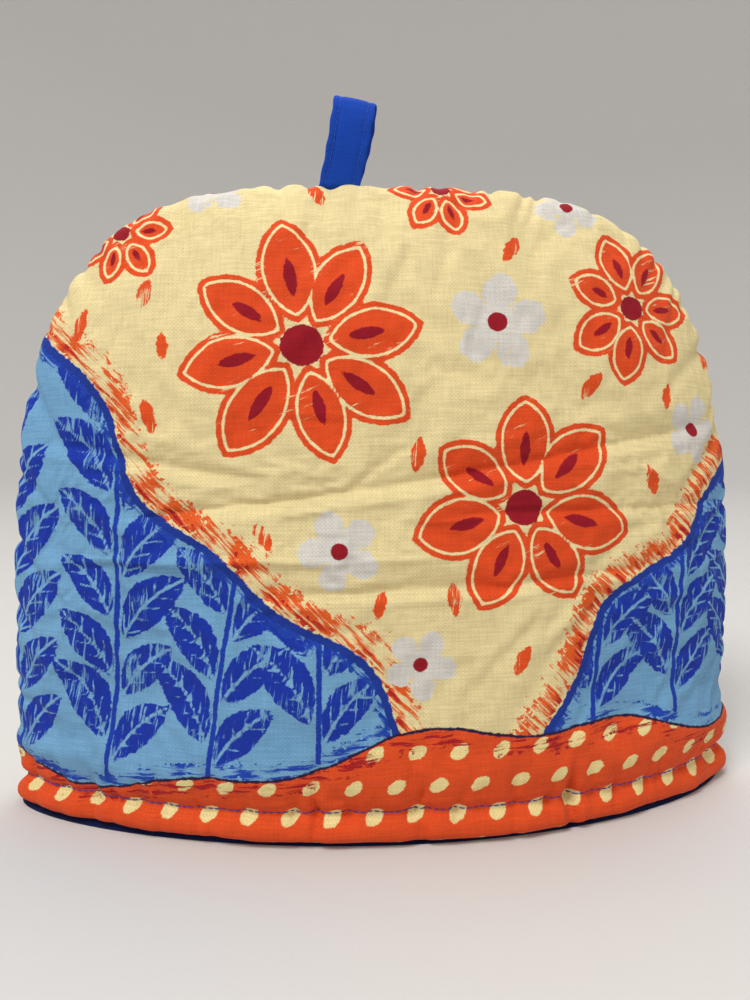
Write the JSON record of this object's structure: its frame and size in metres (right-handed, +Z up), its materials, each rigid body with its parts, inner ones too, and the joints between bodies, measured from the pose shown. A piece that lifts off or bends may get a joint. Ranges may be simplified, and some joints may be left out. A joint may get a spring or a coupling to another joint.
{
  "type": "tea cosy",
  "caption": "Padded cotton tea cosy: a lined dome sewn from a front and a back, open at the hem to cover a teapot, with a tape loop at the top.",
  "frame": {"origin": "middle of the open mouth, on the surface that the hem rests on", "axes": "+Z up to the top of the dome, -Y out of the front panel, +X to the right as seen from the front"},
  "size_m": [0.3314, 0.1058, 0.3083],
  "materials": {
    "printed_cotton": "matt plain-weave cotton, printed in yellow, orange and blues over wadding",
    "navy_cotton": "matt navy plain-weave cotton",
    "blue_tape": "royal blue cotton, folded and stitched along both edges"
  },
  "bodies": {
    "root": {"front_panel": "printed_cotton", "back_panel": "printed_cotton", "front_lining": "navy_cotton", "back_lining": "navy_cotton", "hanging_loop": "blue_tape"}
  },
  "joints": []
}
